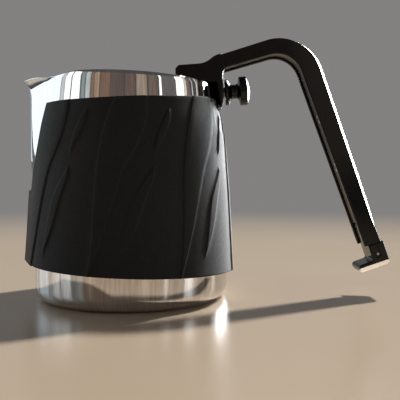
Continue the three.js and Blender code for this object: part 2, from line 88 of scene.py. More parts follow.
OUTSIDE_SLEEVE_R = 60
PANEL_HALF_WIDTH = 16.5
PANEL_BOTTOM_Z = 76.3
PANEL_CORNER = 4
PANEL_EDGE = 0.8
PANEL_DEPTH = 0.35
CLAMP_LEAN = math.radians(5)
SCREW_X = 38.5
SCREW_Z = 95
HALF_WIDTH = 7.3
KNOB_START = 5
KNOB_FLANGE_R = 6.15
KNOB_HEAD_R = 6.75
KNOB_WAIST_R = 3.3
CAP_R = 6.1
CAP_CROWN_R = 13.6
STUD_R = 2.5
THREAD_PITCH = 0.8
ARM_SEAM = Vector((41.4, 112.5))
ARM_RISE = math.radians(17.6)
LEG_FALL = math.radians(-71.1)
ARM_CORNER = Vector((82, 125.4))
BEND_R = 21
LEG_END = 104.6
SEAM_DEPTH = 7
BEND_START_DEPTH = 7.6
BEND_END_DEPTH = 10.1
LEG_END_DEPTH = 8.8
END_EASE = 13
END_DIP = 0.6
TOP_CROWN = 0.6
LEG_CROWN = 2.2
END_CROWN = 0.5
CROWN_LIFT = 0.22
CROWN_EDGE = 0.35
FAR_FROM_END = 1000
SHELL_T = 2
SHELL_SIDE_T = 1.8
CORE_DEPTH = 2.2
CORE_T = 3.2
CORE_RECESS = 1
CORE_HALF_WIDTH = 5.2
CORE_ROOT = 3.6
TOP_SCREW = 17
LEG_SCREWS = [42, 66]
SCREW_HEAD_R = 2.4
SCREW_HEAD_T = 1.1
REST_LENGTH = 11.3
REST_DEPTH = 7.2
FOOT_T = 3.9
FOOT_REACH = 14.4
SOLE_BEVEL = 2.4
REST_SOCKET = 7
TONGUE_LENGTH = 10
PIN_R = 0.9
PIN_ALONG = 5.2
JAW_PLATE_Z = 101.4
JAW_PLATE_T = 1.5
JAW_SCREW_X = 29.5
JAW_FACE = -1.45

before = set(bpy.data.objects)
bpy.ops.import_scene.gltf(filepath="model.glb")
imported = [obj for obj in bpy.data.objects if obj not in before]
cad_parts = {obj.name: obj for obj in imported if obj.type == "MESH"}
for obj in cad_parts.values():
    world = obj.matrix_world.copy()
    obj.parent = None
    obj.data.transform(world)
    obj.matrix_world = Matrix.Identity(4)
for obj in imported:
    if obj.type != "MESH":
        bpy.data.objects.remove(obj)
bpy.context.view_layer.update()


# ---------------------------------------------------------------- node graphs
class Finish:
    """A Principled material with short helpers for its node graph."""

    def __init__(self, name, color, metallic, roughness, **sockets):
        self.material = bpy.data.materials.new(name)
        self.material.use_nodes = True
        self.tree = self.material.node_tree
        self.shader = self.tree.nodes["Principled BSDF"]
        self.set("Base Color", (*color, 1))
        self.set("Metallic", metallic)
        self.set("Roughness", roughness)
        for socket, value in sockets.items():
            self.set(socket.replace("_", " "), value)
        self.place = self.node("ShaderNodeTexCoord").outputs["Object"]

    def set(self, socket, value):
        self.shader.inputs[socket].default_value = value

    def node(self, kind, **settings):
        made = self.tree.nodes.new(kind)
        for key, value in settings.items():
            setattr(made, key, value)
        return made

    def feed(self, value, socket):
        if isinstance(value, bpy.types.NodeSocket):
            self.tree.links.new(value, socket)
        else:
            socket.default_value = value

    def math(self, operation, *values):
        made = self.node("ShaderNodeMath", operation=operation)
        for value, socket in zip(values, made.inputs):
            self.feed(value, socket)
        return made.outputs[0]

    def stretched(self, sx, sy, sz):
        made = self.node("ShaderNodeVectorMath", operation="MULTIPLY")
        self.feed(self.place, made.inputs[0])
        made.inputs[1].default_value = (sx, sy, sz)
        return made.outputs[0]

    def noise(self, vector, scale, detail=3.0, rough=0.55):
        made = self.node("ShaderNodeTexNoise")
        self.feed(vector, made.inputs["Vector"])
        made.inputs["Scale"].default_value = scale
        made.inputs["Detail"].default_value = detail
        made.inputs["Roughness"].default_value = rough
        return made.outputs["Fac"]

    def spread(self, value, low, high, to_low, to_high):
        made = self.node("ShaderNodeMapRange")
        for part, socket in zip((value, low, high, to_low, to_high), made.inputs):
            self.feed(part, socket)
        return made.outputs[0]

    def blend(self, factor, first, second):
        made = self.node("ShaderNodeMix", data_type="RGBA")
        self.feed(factor, made.inputs["Factor"])
        self.feed((*first, 1), made.inputs[6])
        self.feed((*second, 1), made.inputs[7])
        return made.outputs[2]

    def link(self, value, socket):
        self.tree.links.new(value, self.shader.inputs[socket])

    def bump(self, height, strength, distance, under=None):
        made = self.node("ShaderNodeBump")
        made.inputs["Strength"].default_value = strength
        made.inputs["Distance"].default_value = distance
        self.feed(height, made.inputs["Height"])
        if under is not None:
            self.feed(under, made.inputs["Normal"])
        self.link(made.outputs[0], "Normal")
        return made.outputs[0]


def polished_steel():
    """Mirror-finished sheet with the fine upright lines of its drawing and turned rings on flats."""
    f = Finish("polished_steel", (0.74, 0.73, 0.715), 1, 0.1)
    split = f.node("ShaderNodeSeparateXYZ")
    f.feed(f.place, split.inputs[0])
    x, y, z = split.outputs
    radius = f.math("SQRT", f.math("ADD", f.math("MULTIPLY", x, x), f.math("MULTIPLY", y, y)))
    around = f.node("ShaderNodeCombineXYZ")
    f.feed(f.math("DIVIDE", x, radius), around.inputs[0])
    f.feed(f.math("DIVIDE", y, radius), around.inputs[1])
    f.feed(f.math("MULTIPLY", z, 1.6), around.inputs[2])
    drawn = f.noise(around.outputs[0], 210, 4, 0.6)
    rings = f.node("ShaderNodeCombineXYZ")
    f.feed(radius, rings.inputs[0])
    turned_lines = f.noise(rings.outputs[0], 5200, 3)
    flat = f.spread(z, 0.0016, 0.0034, 1.0, 0.0)
    lines = f.node("ShaderNodeMix", data_type="FLOAT")
    f.feed(flat, lines.inputs["Factor"])
    f.feed(drawn, lines.inputs[2])
    f.feed(turned_lines, lines.inputs[3])
    smears = f.noise(f.stretched(1, 1, 0.5), 42, 4)
    gloss = f.math("ADD", f.spread(lines.outputs[0], 0.35, 0.7, 0.02, 0.07),
                   f.spread(smears, 0.45, 0.75, 0.0, 0.04))
    f.link(gloss, "Roughness")
    # Upright light and dark streaks in the steel's colour: partly the drawn finish, mostly painted
    # reflection streaks that stand in for reflected strips of light.
    streaks_and_painted_reflections = f.spread(f.noise(around.outputs[0], 34, 5, 0.7), 0.4, 0.62, 0.0, 1.0)
    f.link(f.blend(streaks_and_painted_reflections, (0.81, 0.795, 0.78), (0.62, 0.605, 0.585)), "Base Color")
    f.bump(lines.outputs[0], 0.06, 0.00002)
    return f.material


def sleeve_silicone():
    """Dull moulded silicone: a fine matt grain, faint flow shading and a little dust."""
    f = Finish("sleeve_silicone", (0.0115, 0.0125, 0.0145), 0, 0.7, Specular_IOR_Level=0.3,
               Sheen_Weight=0.18, Sheen_Roughness=0.4)
    grain = f.noise(f.place, 2600, 2)
    coarse = f.noise(f.place, 820, 3, 0.65)
    cloud = f.noise(f.place, 38, 3)
    f.link(f.blend(cloud, (0.009, 0.01, 0.0118), (0.0138, 0.015, 0.0172)), "Base Color")
    f.link(f.math("ADD", f.spread(coarse, 0.3, 0.7, 0.62, 0.78), f.spread(cloud, 0.3, 0.7, 0, 0.05)),
           "Roughness")
    f.bump(coarse, 0.5, 0.0001, f.bump(grain, 0.35, 0.00005))
    return f.material


def cast_black():
    """Black enamelled casting: slight flow marks, satin gloss and edges rubbed a shade lighter."""
    f = Finish("cast_black", (0.005, 0.005, 0.006), 0, 0.2, Specular_IOR_Level=0.36)
    peel = f.noise(f.place, 720, 2)
    cloud = f.noise(f.place, 90, 3)
    rubbed = f.spread(f.node("ShaderNodeNewGeometry").outputs["Pointiness"], 0.53, 0.62, 0.0, 1.0)
    worn = f.math("MULTIPLY", rubbed, f.spread(cloud, 0.4, 0.65, 0.1, 1.0))
    f.link(f.blend(worn, (0.004, 0.004, 0.005), (0.016, 0.0155, 0.0155)), "Base Color")
    f.link(f.spread(cloud, 0.3, 0.7, 0.17, 0.28), "Roughness")
    f.bump(peel, 0.08, 0.00003)
    return f.material


def gloss_black():
    """Polished black moulding with hairline wiping marks along the arm."""
    f = Finish("gloss_black", (0.004, 0.004, 0.005), 0, 0.14, Specular_IOR_Level=0.4)
    wipe = f.noise(f.stretched(1, 0.3, 0.5), 420, 3, 0.6)
    cloud = f.noise(f.place, 60, 3)
    f.link(f.blend(cloud, (0.0035, 0.0035, 0.0045), (0.006, 0.006, 0.0065)), "Base Color")
    f.link(f.math("ADD", f.spread(cloud, 0.3, 0.7, 0.1, 0.16), f.spread(wipe, 0.5, 0.75, 0, 0.05)),
           "Roughness")
    f.bump(wipe, 0.006, 0.00002)
    return f.material


def brushed_metal(name, dark, light, scale, low, high):
    """Plain metal with machining lines, for the core, the screws and the brass."""
    f = Finish(name, light, 1, high)
    lines = f.noise(f.stretched(1, 0.12, 1), scale, 3)
    cloud = f.noise(f.place, 150, 3)
    f.link(f.blend(cloud, dark, light), "Base Color")
    f.link(f.spread(lines, 0.3, 0.7, low, high), "Roughness")
    f.bump(lines, 0.15, 0.00003)
    return f.material


def pad_rubber():
    f = Finish("pad_rubber", (0.02, 0.02, 0.021), 0, 0.75, Specular_IOR_Level=0.3)
    grain = f.noise(f.place, 1900, 3)
    f.link(f.blend(grain, (0.016, 0.016, 0.017), (0.028, 0.028, 0.029)), "Base Color")
    f.link(f.spread(grain, 0.3, 0.7, 0.68, 0.84), "Roughness")
    f.bump(grain, 0.3, 0.00005)
    return f.material


FINISHES = {
    "polished_steel": polished_steel(),
    "sleeve_silicone": sleeve_silicone(),
    "black_cast": cast_black(),
    "gloss_black": gloss_black(),
    "core_steel": brushed_metal("core_steel", (0.07, 0.066, 0.062), (0.1, 0.094, 0.088), 900, 0.3, 0.42),
    "fastener_steel": brushed_metal("fastener_steel", (0.5, 0.5, 0.5), (0.62, 0.61, 0.6), 2400, 0.2, 0.34),
    "bush_brass": brushed_metal("bush_brass", (0.5, 0.36, 0.15), (0.62, 0.46, 0.2), 2400, 0.22, 0.36),
    "pad_rubber": pad_rubber(),
    # Pale metal for the sole bevel of the finger rest. It is brightened to stand in for the white band of
    # light along the sole, so it is a painted highlight.
    "sole_painted_highlight": brushed_metal("sole_painted_highlight", (0.88, 0.84, 0.81), (0.96, 0.93, 0.9), 1500, 0.3, 0.42),
}


# ---------------------------------------------------------------- mesh building
def skin(name, rings, ends=None, capped=False, place=None):
    """One closed mesh through rings of equal length.

    It runs to a point at each end, to a flat cap at each end, or round on itself.
    """
    count = len(rings[0])
    points = [tuple(p) for ring in rings for p in ring]
    bands = len(rings) if ends is None and not capped else len(rings) - 1
    faces = []
    for r in range(bands):
        a, b = r * count, (r + 1) % len(rings) * count
        faces += [(a + i, a + (i + 1) % count, b + (i + 1) % count, b + i) for i in range(count)]
    last = (len(rings) - 1) * count
    if capped:
        faces += [tuple(range(count))[::-1], tuple(range(last, last + count))]
    if ends is not None:
        first = len(points)
        points += [tuple(e) for e in ends]
        faces += [(first, (i + 1) % count, i) for i in range(count)]
        faces += [(first + 1, last + i, last + (i + 1) % count) for i in range(count)]
    mesh = bpy.data.meshes.new(name)
    mesh.from_pydata(points, [], faces)
    mesh.transform(Matrix.Scale(MM, 4) @ (place or Matrix.Identity(4)))
    piece = bpy.data.objects.new(name, mesh)
    bpy.context.scene.collection.objects.link(piece)
    face_outwards(piece)
    return piece


def face_outwards(piece):
    """Turns every face's normal to the outside."""
    bm = bmesh.new()
    bm.from_mesh(piece.data)
    bmesh.ops.recalc_face_normals(bm, faces=bm.faces)
    bm.to_mesh(piece.data)
    bm.free()


def settle(piece):
    """Replaces the piece's mesh by what its modifiers make of it."""
    graph = bpy.context.evaluated_depsgraph_get()
    settled = bpy.data.meshes.new_from_object(piece.evaluated_get(graph))
    piece.modifiers.clear()
    piece.data = settled
    return piece


def combine(piece, operation, *others):
    """Joins other pieces to a piece or cuts them out of it; they are used up."""
    for other in others:
        modifier = piece.modifiers.new("combine", "BOOLEAN")
        modifier.operation = operation
        modifier.solver = "EXACT"
        modifier.object = other
        settle(piece)
        bpy.data.objects.remove(other)
    return piece


def soften(piece, sharp=38, weighted=True):
    """Smooth shading with creases where faces meet sharply; flat faces keep flat normals."""
    bm = bmesh.new()
    bm.from_mesh(piece.data)
    for face in bm.faces:
        face.smooth = True
    for edge in bm.edges:
        edge.smooth = edge.calc_face_angle(math.pi) < math.radians(sharp)
    bm.to_mesh(piece.data)
    bm.free()
    if weighted:
        modifier = piece.modifiers.new("normals", "WEIGHTED_NORMAL")
        modifier.keep_sharp = True
        settle(piece)
    return piece


def finished(piece, body, node, slot):
    """Gives a new piece its finish and its body, and hides the CAD node it stands for."""
    piece.data.materials.clear()
    piece.data.materials.append(FINISHES[slot])
    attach(piece, body)
    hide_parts(node)


def rounded(corners, steps=5, closed=True):
    """A line through corners, each (x, y) or (x, y, radius) where the corner is rounded off."""
    line = []
    for i, corner in enumerate(corners):
        here = Vector(corner[:2])
        inner = closed or 0 < i < len(corners) - 1
        if len(corner) < 3 or not inner:
            line.append(here)
            continue
        back = (Vector(corners[i - 1][:2]) - here).normalized()
        on = (Vector(corners[(i + 1) % len(corners)][:2]) - here).normalized()
        half = back.angle(on) / 2
        centre = here + (back + on).normalized() * corner[2] / math.sin(half)
        start = here + back * corner[2] / math.tan(half) - centre
        sweep = start.angle_signed(here + on * corner[2] / math.tan(half) - centre)
        for k in range(steps + 1):
            line.append(centre + Matrix.Rotation(-sweep * k / steps, 2) @ start)
    return line


def bowed(start, control, end, steps=8):
    """Points after start on a quadratic curve."""
    a, b, c = Vector(start), Vector(control), Vector(end)
    return [a * (1 - t) ** 2 + b * 2 * t * (1 - t) + c * t * t for t in np.linspace(0, 1, steps + 1)[1:]]


def shrunk(outline, inset):
    """The outline moved inwards by inset, corner by corner."""
    area = sum(p.cross(q) for p, q in zip(outline, outline[1:] + outline[:1]))
    turn = 1 if area > 0 else -1
    moved = []
    for i, here in enumerate(outline):
        before = (here - outline[i - 1]).normalized()
        after = (outline[(i + 1) % len(outline)] - here).normalized()
        n1 = Vector((-before.y, before.x)) * turn
        n2 = Vector((-after.y, after.x)) * turn
        moved.append(here + (n1 + n2) * inset / (1 + n1.dot(n2)))
    return moved


def prism(name, outline, half, edge=0.5, steps=4):
    """A side outline in X and Z made solid across Y, with its long edges rounded off."""
    rings = []
    for side in (-1, 1):
        for k in range(steps + 1):
            lean = math.pi / 2 * (k if side < 0 else steps - k) / steps
            ring = shrunk(outline, edge * (1 - math.sin(lean)))
            y = side * (half - edge * (1 - math.cos(lean)))
            rings.append([(p.x, y, p.y) for p in ring])
    return skin(name, rings, capped=True)


def block(name, outline, half):
    """A plain cutter across Y."""
    return skin(name, [[(p.x, y, p.y) for p in map(Vector, outline)] for y in (-half, half)], capped=True)


def turned(name, profile, place, segments=72, steps=5):
    """A turned piece about the local X axis; profile corners are (along, radius, rounding)."""
    line = rounded(profile, steps, closed=False)
    turns = np.linspace(0, 2 * math.pi, segments, endpoint=False)
    rings = [[(p.x, p.y * math.cos(t), p.y * math.sin(t)) for t in turns] for p in line if p.y > 1e-6]
    if line[0].y > 1e-6:
        return skin(name, rings[:-1], place=place)
    return skin(name, rings, ends=[(line[0].x, 0, 0), (line[-1].x, 0, 0)], place=place)


# ---------------------------------------------------------------- jug and sleeve surfaces
def step(low, high, value):
    t = np.clip((value - low) / (high - low), 0, 1)
    return t * t * (3 - 2 * t)


def from_spout(angle):
    return np.minimum(angle % 360, 360 - angle % 360)


def body_radius(z):
    climb = np.maximum(0, (z - BELLY_Z) / (RIM_Z - BELLY_Z))
    return BELLY_R - (BELLY_R - RIM_R) * climb**TAPER_POWER


def spout_rise(z):
    lip = np.maximum(0, (z - LIP_Z) / (RIM_Z - LIP_Z))
    crest = (SPOUT_CREST_R - body_radius(z)) * step(SPOUT_FOOT_Z, SPOUT_FULL_Z, z)
    return crest + (SPOUT_TIP_R - SPOUT_CREST_R) * lip**LIP_POWER


def prow(angle, radius, rise):
    """Extra radius: rise at the spout's nose, fading out where a tangent from it meets the wall."""
    tangent = np.degrees(np.arccos(radius / (radius + rise)))
    blunt = np.hypot(from_spout(angle), SPOUT_NOSE_DEG) - SPOUT_NOSE_DEG
    return rise * np.maximum(0, 1 - blunt / np.maximum(SPOUT_MIN_DEG, tangent)) ** PROW_POWER


def jug_radius(angle, z):
    return body_radius(z) + prow(angle, body_radius(z), spout_rise(z))


def sleeve_radius(angle, z):
    flare = SLEEVE_FLARE * np.clip((FLARE_TOP_Z - z) / FLARE_HEIGHT, 0, 1.5) ** 2
    wall = body_radius(z) + SLEEVE_STANDOFF - SLEEVE_DRAW_IN * step(*SLEEVE_DRAW_IN_Z, z) + flare
    blend = step(*BULGE_END_Z, z)
    return wall + prow(angle, wall, SLEEVE_BULGE * (1 - blend) + spout_rise(z) * blend)


def around(angle, radius, z):
    """Points at an angle, a radius and a height round the jug."""
    turn = np.radians(angle)
    spread = np.broadcast_arrays(-radius * np.cos(turn), -radius * np.sin(turn), z)
    return np.stack(spread, axis=-1)


def rim_height(angle, radius):
    away = from_spout(angle)
    lip = LIP_RISE * np.exp(-(((away - LIP_RISE_DEG) / LIP_RISE_SPREAD_DEG) ** 2))
    dip = RIM_DIP * (1 - step(*RIM_DIP_DEG, away)) - lip
    return RIM_Z - RIM_SLOPE * radius * np.cos(np.radians(angle)) - dip


def make_vessel():
    turn = np.arange(232) / 232
    angles = np.degrees(2 * math.pi * turn - 0.5 * np.sin(2 * math.pi * turn))

    def wall_ring(z, inset):
        radius = jug_radius(angles, z)
        lift = (rim_height(angles, radius) - RIM_Z) * step(RIM_BLEND_Z, RIM_Z, z)
        return around(angles, radius - inset, z + lift)

    def plain(radius, z):
        return around(angles, radius, z)

    def fillet(radius, fractions):
        leans = [math.pi / 2 * t for t in fractions]
        return [plain(BASE_R + radius * math.cos(a), BASE_FILLET - radius * math.sin(a)) for a in leans]

    def rim_ring(lean):
        radius = jug_radius(angles, RIM_Z)
        bead = WALL / 2
        z = rim_height(angles, radius) - bead + bead * math.sin(lean)
        return around(angles, radius - bead + bead * math.cos(lean), z)

    down = np.linspace(1, 0, 11)
    heights = np.linspace(BELLY_Z, RIM_Z - 0.6, 54)
    recess = [(27.4, 0.5), (28.2, 0.42), (28.7, 0.2), (29.1, 0.04), (29.8, 0), (34, 0)]
    floor_z = WALL + FLOOR_RAISE
    floor = [(36, WALL), (30, WALL), (28.9, WALL + 0.05), (28.2, WALL + 0.3),
             (27.5, WALL + RECESS_DEPTH), (26, floor_z)]
    rings = [plain(20, RECESS_DEPTH)]
    rings += [plain(r, z) for r, z in recess]
    rings += fillet(BASE_FILLET, down)
    rings += [wall_ring(z, 0) for z in heights]
    rings += [rim_ring(lean) for lean in np.linspace(0, math.pi, 9)]
    rings += [wall_ring(z, WALL) for z in heights[::-1]]
    rings += fillet(BASE_FILLET - WALL, down[::-1])
    rings += [plain(r, z) for r, z in floor]
    rings += [plain(12, floor_z)]
    jug = skin("vessel_fine", rings, ends=[(0, 0, RECESS_DEPTH), (0, 0, floor_z)])
    finished(soften(jug, 60, weighted=False), "pitcher", "vessel", "polished_steel")


# Relief of the sleeve: flame-shaped hollows side by side, each with two raised leaves in it.
HOLLOWS = 6
FIRST_HOLLOW_DEG = 40.4
HOLLOW_PITCH_DEG = 47.4
RELIEF = 0.62
DEG_PER_MM = 1.25
STEP_PROFILE = [(-0.36, 0), (-0.15, 0.12), (0.15, 0.88), (0.36, 1)]


def smooth_line(z, *knots):
    """A smooth curve of degrees over height through (height, degrees) knots."""
    heights = [k[0] for k in knots]
    values = np.array([k[1] for k in knots], float)
    slopes = np.gradient(values, heights)
    z = np.clip(z, heights[0], heights[-1])
    i = np.clip(np.searchsorted(heights, z, side="right") - 1, 0, len(knots) - 2)
    span = np.array(heights)[i + 1] - np.array(heights)[i]
    t = (z - np.array(heights)[i]) / span
    a, b, m, n = values[i], values[i + 1], slopes[i] * span, slopes[i + 1] * span
    return (a * (1 + 2 * t) + m * t) * (1 - t) ** 2 + (b * (3 - 2 * t) - n * (1 - t)) * t * t


def hollow_left(z):
    return smooth_line(z, (12, -15), (33, -6.4), (50, 0), (60, 4.4), (68, 10.4), (77, 15.2), (92, 17))


def hollow_right(z):
    return smooth_line(z, (12, 32), (24, 34.4), (45, 35.8), (60, 36.8), (76, 40.6), (92, 48))


def leaf_middle(z):
    return smooth_line(z, (12, -1), (22, 2), (35, 7.6), (47, 12.2),
                       (58, 19), (66, 20.5), (78, 27), (92, 33.5))


def leaf_half_width(z):
    """Half the width of the raised leaves, in millimetres."""
    lower = 2.5 * np.sin(math.pi * np.clip((z - 21) / 39, 0, 1) ** 1.35) ** 0.8
    upper = 1.7 * np.sin(math.pi * np.clip((z - 65) / 19, 0, 1) ** 1.2) ** 0.8
    return lower + upper


def sleeve_bottom(angle):
    return SLEEVE_BOTTOM_Z - RIM_SLOPE * BELLY_R * np.cos(np.radians(angle))


def sleeve_top(angle):
    away = from_spout(angle)
    x = -RIM_R * np.cos(np.radians(angle))
    edge = SLEEVE_TOP_Z + 0.04 * x + 0.0009 * x * x
    across = np.maximum(0, (away - NOTCH_FLAT_DEG) / (NOTCH_TOP_DEG - NOTCH_FLAT_DEG))
    return np.minimum(edge, NOTCH_Z + (edge - NOTCH_Z) * across**NOTCH_POWER)


def on_level(line, level, first):
    """The angle where a line over height crosses a level of the sleeve, found by repeated steps."""
    angle = np.array(first, float)
    for _ in range(12):
        z = sleeve_bottom(angle) + (sleeve_top(angle) - sleeve_bottom(angle)) * level
        angle = first + line(z)
    return angle, z


def sleeve_columns(level):
    """(angle, relief) of every column of mesh points at one level, from the spout round."""
    corners = [NOTCH_FLAT_DEG * (0.65 + 0.35 * level),
               NOTCH_CORNER_DEG + (NOTCH_TOP_DEG - NOTCH_CORNER_DEG) * level]
    keys = [[(0, 0)], [(corners[0], 0)], [(corners[1], 0)]]
    for k in range(HOLLOWS):
        start = FIRST_HOLLOW_DEG + HOLLOW_PITCH_DEG * k
        left, _ = on_level(hollow_left, level, start)
        right, _ = on_level(hollow_right, level, start)
        middle, z = on_level(leaf_middle, level, start)
        half = leaf_half_width(z)
        height = RELIEF * min(1, half / 0.6)
        keys.append([(left + s * DEG_PER_MM, -RELIEF * h) for s, h in STEP_PROFILE])
        leaf = [(middle - DEG_PER_MM * max(half - s, 0.05 - 0.04 * h), -RELIEF + height * h)
                for s, h in STEP_PROFILE]
        keys.append(leaf)
        keys.append([(2 * middle - a, h) for a, h in leaf[::-1]])
        keys.append([(right - s * DEG_PER_MM, -RELIEF * h) for s, h in STEP_PROFILE[::-1]])
    keys += [[(360 - corners[1], 0)], [(360 - corners[0], 0)], [(360, 0)]]
    between = [8, 12, 8] + [6, 4, 7, 6] * HOLLOWS + [12, 8]
    between[2 + 4 * HOLLOWS] = 12
    columns = []
    for here, there, count in zip(keys, keys[1:], between):
        columns += here
        (a0, h0), (a1, h1) = here[-1], there[0]
        for t in np.linspace(0, 1, count + 2)[1:-1]:
            columns.append((a0 + (a1 - a0) * t, h0 + (h1 - h0) * t))
    return np.array(columns, float).T


def sleeve_faces(angle, z):
    """Outer radius without relief and inner radius of the sleeve, with its dish behind the thumbscrew.

    A shallow rounded panel lies round the dish, and the dish falls away towards the top edge.
    """
    outer = sleeve_radius(angle, z)
    inner = np.maximum(jug_radius(angle, z) + SLEEVE_GAP, outer - SLEEVE_T)
    across = np.abs(outer * np.sin(np.radians(angle)))
    behind = from_spout(angle) > HANDLE_SIDE_DEG
    beside = np.maximum(0, across - (PANEL_HALF_WIDTH - PANEL_CORNER))
    below = np.maximum(0, PANEL_BOTTOM_Z + PANEL_CORNER - z)
    panel = 1 - step(PANEL_CORNER - PANEL_EDGE, PANEL_CORNER + PANEL_EDGE, np.hypot(beside, below))
    outer = outer - PANEL_DEPTH * panel * behind
    dish = np.interp(z, SCOOP_HEIGHTS, SCOOP_RADII)
    dish = np.maximum(np.where(z < SCOOP_BOTTOM_Z, OUTSIDE_SLEEVE_R, dish), inner + SCOOP_MIN_T)
    sides = (1 - step(SCOOP_HALF_WIDTH - SCOOP_EDGE, SCOOP_HALF_WIDTH, across)) * behind
    return outer - sides * np.maximum(0, outer - dish), inner


def make_sleeve():
    def ring(level, lean, inside):
        angle, relief = sleeve_columns(level)
        z = sleeve_bottom(angle) + (sleeve_top(angle) - sleeve_bottom(angle)) * level
        outer, inner = sleeve_faces(angle, z)
        edge = np.minimum(SLEEVE_EDGE, 0.42 * (outer - inner))
        towards = 1 if level > 0.5 else -1
        if lean is not None:
            z = z - towards * edge * (1 - math.sin(lean))
            inset = edge * (1 - math.cos(lean))
        else:
            inset = 0
            z = np.clip(z, sleeve_bottom(angle) + edge, sleeve_top(angle) - edge)
        if inside:
            return around(angle, inner + inset, z)
        return around(angle, outer + relief - inset, z)

    leans = np.linspace(math.pi / 2, 0, 4)
    levels = np.linspace(0, 1, 74)[1:-1]
    rings = [ring(0, lean, False) for lean in leans]
    rings += [ring(level, None, False) for level in levels]
    rings += [ring(1, lean, False) for lean in leans[::-1]]
    rings += [ring(1, lean, True) for lean in leans]
    rings += [ring(level, None, True) for level in levels[::-6]]
    rings += [ring(0, lean, True) for lean in leans[::-1]]
    sleeve = skin("grip_sleeve_fine", rings)
    finished(soften(sleeve, 62, weighted=False), "pitcher", "grip_sleeve", "sleeve_silicone")


# ---------------------------------------------------------------- arm
rise = Vector((math.cos(ARM_RISE), math.sin(ARM_RISE)))
fall = Vector((math.cos(LEG_FALL), math.sin(LEG_FALL)))
tangent_length = BEND_R * math.tan((ARM_RISE - LEG_FALL) / 2)
top_length = (ARM_CORNER - ARM_SEAM).length
screw_places = [-TOP_SCREW - tangent_length, *LEG_SCREWS]


def inwards(along):
    return Vector((along.y, -along.x))


def arm_point(station, depth):
    along = rise if station < 0 else fall
    return ARM_CORNER + along * station + inwards(along) * depth


def arm_frame(station):
    direction = inwards(rise if station < 0 else fall)
    place = arm_point(station, 0)
    lean = math.atan2(direction.y, direction.x)
    return Matrix.Translation((place.x, 0, place.y)) @ Matrix.Rotation(-lean, 4, "Y")


def tip_depth(station):
    """Depth of the shell's flange tips on one of the straights."""
    if station < 0:
        return float(np.interp(station, (-top_length, -tangent_length), (SEAM_DEPTH, BEND_START_DEPTH)))
    return float(np.interp(station, (tangent_length, LEG_END), (BEND_END_DEPTH, LEG_END_DEPTH)))


def arm_places(start, end, bend_steps=36, spacing=2.6):
    """(outer point, inward direction, flange depth, crown height, distance to the shell's end).

    Before the leg that distance is FAR_FROM_END.
    """
    centre = arm_point(-tangent_length, BEND_R)
    first, last = min(end, -tangent_length), max(start, tangent_length)
    places = []
    for s in np.linspace(start, first, max(2, round((first - start) / spacing)), endpoint=end < 0):
        places.append((arm_point(s, 0), inwards(rise), tip_depth(s), TOP_CROWN, FAR_FROM_END))
    if end < 0:
        return places
    for t in np.linspace(0, 1, bend_steps + 1):
        lean = math.pi / 2 + ARM_RISE + (LEG_FALL - ARM_RISE) * t
        out = Vector((math.cos(lean), math.sin(lean)))
        ease = float(step(0, 1, t))
        tip = BEND_START_DEPTH + (BEND_END_DEPTH - BEND_START_DEPTH) * (0.5 * t + 0.5 * ease)
        crown = TOP_CROWN + (LEG_CROWN - TOP_CROWN) * ease
        places.append((centre + out * BEND_R, -out, tip, crown, FAR_FROM_END))
    for s in np.linspace(end, last, round((end - last) / spacing), endpoint=False)[::-1]:
        places.append((arm_point(s, 0), inwards(fall), tip_depth(s), LEG_CROWN, LEG_END - s))
    return places


def swept(name, section, start, end, ease=0.25):
    """A section carried along the arm, with slightly eased ends.

    section(tip, crown, left, inset) gives its (across, depth) points at one place: tip is the flange depth,
    crown the height of the outer face's crown, left the distance to the shell's end.
    """
    path = arm_places(start, end)
    eased = [(path[0], ease, 0), (path[0], 0, ease), *[(s, 0, 0) for s in path[1:-1]],
             (path[-1], 0, -ease), (path[-1], ease, 0)]
    rings = []
    for (point, inward, tip, crown, left), inset, shift in eased:
        along = Vector((-inward.y, inward.x)) * shift
        ring = []
        for across, depth in section(tip, crown, left, inset):
            at = point + inward * depth + along
            ring.append((at.x, across, at.y))
        rings.append(ring)
    return skin(name, rings, capped=True)


def shell_section(tip, crown, left, inset):
    """The open channel of the grip. The crown of its outer face flattens and dips towards its end."""
    ended = float(np.clip(1 - left / END_EASE, 0, 1))
    half = HALF_WIDTH - inset
    inner = HALF_WIDTH - SHELL_SIDE_T + inset
    top = END_DIP * ended**2 + inset - CROWN_LIFT * (crown - TOP_CROWN) * (1 - ended)
    crown = crown + (END_CROWN - crown) * ended**1.5
    arch = [(half * t, top + crown * t * t) for t in np.linspace(-1, 1, 17)[1:-1]]
    low = tip - inset
    return rounded([
        (-half, top + crown, CROWN_EDGE), *arch, (half, top + crown, CROWN_EDGE), (half, low, 0.6 - inset),
        (inner, low, 0.6 - inset), (inner, SHELL_T - inset, 0.6), (-inner, SHELL_T - inset, 0.6),
        (-inner, low, 0.6 - inset), (-half, low, 0.6 - inset)], 6)


def bar_section(tip, crown, left, inset):
    half = CORE_HALF_WIDTH - inset
    low, high = CORE_DEPTH + inset, CORE_DEPTH + CORE_T - inset
    return rounded([(-half, low, 0.5), (half, low, 0.5), (half, high, 0.5), (-half, high, 0.5)], 4)


def filling_section(tip, crown, left, inset):
    half = CORE_HALF_WIDTH - inset
    low, high = CORE_DEPTH + inset, tip - CORE_RECESS - inset
    return rounded([(-half, low, 0.5), (half, low, 0.5), (half, high, 0.45), (-half, high, 0.45)], 4)


def hex_socket(name, radius, start, end, place):
    sides = np.radians(np.arange(0, 360, 60))
    rings = [[(u, radius * math.cos(t), radius * math.sin(t)) for t in sides] for u in (start, end)]
    return skin(name, rings, capped=True, place=place)


def make_screw(name, node, profile, place, socket):
    screw = turned(name, profile, place, 40)
    combine(screw, "DIFFERENCE", socket)
    finished(soften(screw), "handle", node, "fastener_steel")


